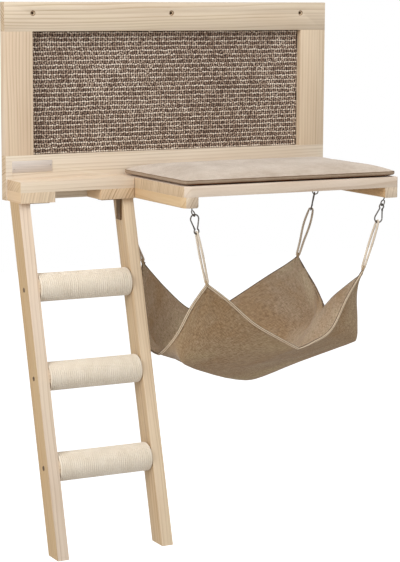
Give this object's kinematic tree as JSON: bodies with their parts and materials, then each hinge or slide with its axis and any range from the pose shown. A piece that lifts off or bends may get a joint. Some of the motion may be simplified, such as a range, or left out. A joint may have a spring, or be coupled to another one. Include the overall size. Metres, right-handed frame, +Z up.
{
  "type": "wall-mounted cat climbing shelf",
  "caption": "Wall-hung wooden cat bed: framed sisal board, step shelf, cushioned shelf, leaning rope-wound ladder and a cloth hammock on snap hooks.",
  "frame": {"origin": "axis of the middle wall hole at the board's back face", "axes": "+X to the right seen from the room, +Y into the wall, +Z up"},
  "size_m": [0.706, 0.29, 1.016],
  "materials": {
    "pine": "matt, fine sanded",
    "backing": "raw fibreboard",
    "sisal": "woven sisal mat",
    "plate": "brushed, bare",
    "cushion_fabric": "short pile",
    "burlap": "coarse weave",
    "cotton_rope": "cotton rope",
    "dark_steel": "dark burnished"
  },
  "bodies": {
    "frame": {"board_top_rail": "pine", "board_bottom_rail": "pine", "board_side_left": "pine", "board_side_right": "pine", "backing_panel": "backing", "sisal_panel": "sisal", "nameplate": "plate", "frame_dowels": "pine", "panel_nails": "dark_steel", "step_plank": "pine", "step_cleat_left": "pine", "step_cleat_right": "pine", "step_screws": "dark_steel", "shelf_plank": "pine", "shelf_cleat_left": "pine", "shelf_cleat_right": "pine", "shelf_screws": "dark_steel", "board_screws": "dark_steel", "ladder_stile_left": "pine", "ladder_stile_right": "pine", "rung_core_1": "pine", "rung_core_2": "pine", "rung_core_3": "pine", "rung_rope_1": "cotton_rope", "rung_rope_2": "cotton_rope", "rung_rope_3": "cotton_rope", "rung_screws": "dark_steel", "ladder_bracket_left": "dark_steel", "ladder_bracket_right": "dark_steel", "bracket_screws": "dark_steel", "screw_eye_fl": "dark_steel", "screw_eye_fr": "dark_steel", "screw_eye_bl": "dark_steel", "screw_eye_br": "dark_steel"},
    "cushion": {"cushion": "cushion_fabric"},
    "hammock": {"hammock_cloth": "burlap", "hammock_piping": "cotton_rope"},
    "link_fl": {"hook_fl": "dark_steel", "gate_rivet_fl": "dark_steel", "rope_loop_fl": "cotton_rope"},
    "gate_fl": {"hook_gate_fl": "dark_steel"},
    "link_fr": {"hook_fr": "dark_steel", "gate_rivet_fr": "dark_steel", "rope_loop_fr": "cotton_rope"},
    "gate_fr": {"hook_gate_fr": "dark_steel"},
    "link_bl": {"hook_bl": "dark_steel", "gate_rivet_bl": "dark_steel", "rope_loop_bl": "cotton_rope"},
    "gate_bl": {"hook_gate_bl": "dark_steel"},
    "link_br": {"hook_br": "dark_steel", "gate_rivet_br": "dark_steel", "rope_loop_br": "cotton_rope"},
    "gate_br": {"hook_gate_br": "dark_steel"}
  },
  "joints": [
    {"name": "cushion_lift", "type": "slide", "parent": "frame", "child": "cushion", "axis": [0, 0, 1], "range_m": [0, 0.12]},
    {"name": "sway_fl", "type": "hinge", "parent": "frame", "child": "link_fl", "pos_m": [-0.08102, -0.273, -0.36745], "axis": [0, 1, 0], "range_deg": [-7, 7]},
    {"name": "sway_fr", "type": "hinge", "parent": "frame", "child": "link_fr", "pos_m": [0.33002, -0.273, -0.36745], "axis": [0, 1, 0], "range_deg": [-9, 9]},
    {"name": "sway_bl", "type": "hinge", "parent": "frame", "child": "link_bl", "pos_m": [-0.09656, -0.034, -0.36833], "axis": [0, 1, 0], "range_deg": [-9, 9]},
    {"name": "sway_br", "type": "hinge", "parent": "frame", "child": "link_br", "pos_m": [0.32188, -0.034, -0.36699], "axis": [0, 1, 0], "range_deg": [-9, 9]},
    {"name": "gate_fl_open", "type": "hinge", "parent": "link_fl", "child": "gate_fl", "pos_m": [-0.07996, -0.273, -0.39157], "axis": [0, 1, 0], "range_deg": [0, 20], "stiffness_Nm_per_rad": 0.01, "springref_deg": -11.46},
    {"name": "gate_fr_open", "type": "hinge", "parent": "link_fr", "child": "gate_fr", "pos_m": [0.33104, -0.273, -0.37488], "axis": [0, 1, 0], "range_deg": [0, 20], "stiffness_Nm_per_rad": 0.01, "springref_deg": -11.46},
    {"name": "gate_bl_open", "type": "hinge", "parent": "link_bl", "child": "gate_bl", "pos_m": [-0.0947, -0.03678, -0.39225], "axis": [-0.8744, 0.4695, -0.1229], "range_deg": [0, 20], "stiffness_Nm_per_rad": 0.01, "springref_deg": -11.46},
    {"name": "gate_br_open", "type": "hinge", "parent": "link_br", "child": "gate_br", "pos_m": [0.31505, -0.03678, -0.38999], "axis": [-0.8603, 0.4695, 0.1986], "range_deg": [0, 20], "stiffness_Nm_per_rad": 0.01, "springref_deg": -11.46},
    {"name": "hammock_tilt", "type": "hinge", "parent": "link_fl", "child": "hammock", "pos_m": [-0.0502, -0.26583, -0.4955], "axis": [-0.0449, 0.999, 0], "range_deg": [-9, 9]}
  ],
  "couplings": [
    {"joint": "sway_fr", "follows": "sway_fl", "ratio": 1.06},
    {"joint": "sway_bl", "follows": "sway_fl", "ratio": 1.16},
    {"joint": "sway_br", "follows": "sway_fl", "ratio": 1.04},
    {"joint": "hammock_tilt", "follows": "sway_fl", "ratio": -1.2}
  ]
}
